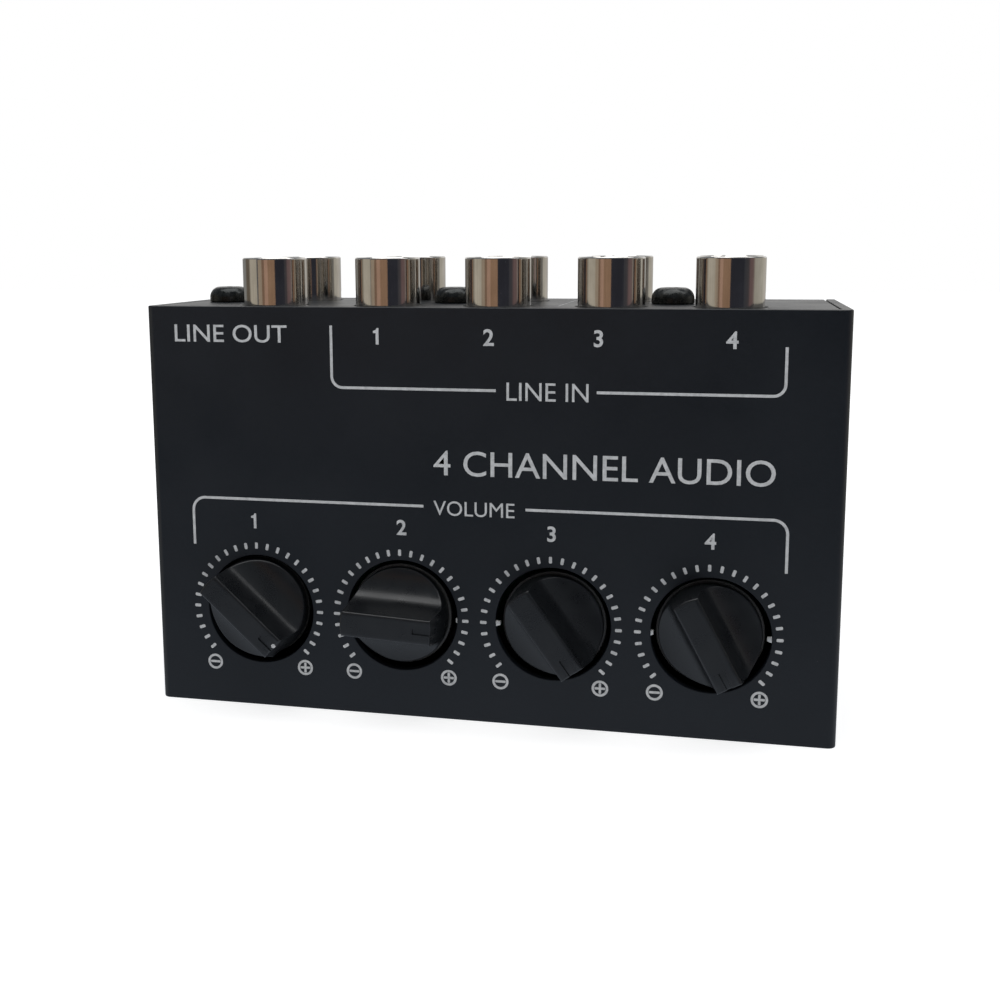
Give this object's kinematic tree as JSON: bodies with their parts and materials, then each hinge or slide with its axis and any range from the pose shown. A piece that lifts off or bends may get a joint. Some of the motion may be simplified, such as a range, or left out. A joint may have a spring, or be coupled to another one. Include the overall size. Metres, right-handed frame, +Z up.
{
  "type": "mixing console",
  "caption": "Small passive stereo mixing console: folded steel box with level knobs in panel clearance holes and rows of phono sockets on top.",
  "frame": {"origin": "centre of the bottom of the bounding box, standing as pictured", "axes": "+X to the right of the knob panel, +Y from the knob panel to the back, +Z up towards the sockets"},
  "size_m": [0.0886, 0.0344, 0.0594],
  "materials": {
    "case_paint": "satin black powder paint with fine white print",
    "black_screw": "blackened steel",
    "nickel": "polished nickel plate",
    "white_insulator": "moulded",
    "red_insulator": "moulded",
    "contact": "tin plated",
    "block_plastic": "moulded",
    "knob_plastic": "semi-gloss moulded",
    "shaft_metal": "turned",
    "pot_cover": "zinc plated",
    "board": "green solder mask"
  },
  "bodies": {
    "console": {"front_shell": "case_paint", "rear_shell": "case_paint", "case_screw_left_lower": "black_screw", "case_screw_left_upper": "black_screw", "case_screw_right_lower": "black_screw", "case_screw_right_upper": "black_screw", "jack_screw_out": "black_screw", "jack_screw_in_12": "black_screw", "jack_screw_in_34": "black_screw", "block_out": "block_plastic", "block_in_12": "block_plastic", "block_in_34": "block_plastic", "barrel_out_front": "nickel", "insulator_out_front": "white_insulator", "contact_out_front": "contact", "barrel_out_rear": "nickel", "insulator_out_rear": "red_insulator", "contact_out_rear": "contact", "barrel_in1_front": "nickel", "insulator_in1_front": "white_insulator", "contact_in1_front": "contact", "barrel_in1_rear": "nickel", "insulator_in1_rear": "red_insulator", "contact_in1_rear": "contact", "barrel_in2_front": "nickel", "insulator_in2_front": "white_insulator", "contact_in2_front": "contact", "barrel_in2_rear": "nickel", "insulator_in2_rear": "red_insulator", "contact_in2_rear": "contact", "barrel_in3_front": "nickel", "insulator_in3_front": "white_insulator", "contact_in3_front": "contact", "barrel_in3_rear": "nickel", "insulator_in3_rear": "red_insulator", "contact_in3_rear": "contact", "barrel_in4_front": "nickel", "insulator_in4_front": "white_insulator", "contact_in4_front": "contact", "barrel_in4_rear": "nickel", "insulator_in4_rear": "red_insulator", "contact_in4_rear": "contact", "pot_1": "pot_cover", "pot_2": "pot_cover", "pot_3": "pot_cover", "pot_4": "pot_cover", "circuit_board": "board"},
    "level_1": {"knob_1": "knob_plastic", "shaft_1": "shaft_metal"},
    "level_2": {"knob_2": "knob_plastic", "shaft_2": "shaft_metal"},
    "level_3": {"knob_3": "knob_plastic", "shaft_3": "shaft_metal"},
    "level_4": {"knob_4": "knob_plastic", "shaft_4": "shaft_metal"}
  },
  "joints": [
    {"name": "level_1_turn", "type": "hinge", "parent": "console", "child": "level_1", "pos_m": [-0.02995, -0.01175, 0.01345], "axis": [0, 1, 0], "range_deg": [-285, 19]},
    {"name": "level_2_turn", "type": "hinge", "parent": "console", "child": "level_2", "pos_m": [-0.01055, -0.01175, 0.01345], "axis": [0, 1, 0], "range_deg": [-245, 59]},
    {"name": "level_3_turn", "type": "hinge", "parent": "console", "child": "level_3", "pos_m": [0.00948, -0.01175, 0.01345], "axis": [0, 1, 0], "range_deg": [-296, 8]},
    {"name": "level_4_turn", "type": "hinge", "parent": "console", "child": "level_4", "pos_m": [0.0289, -0.01175, 0.01345], "axis": [0, 1, 0], "range_deg": [-304, 0]}
  ]
}
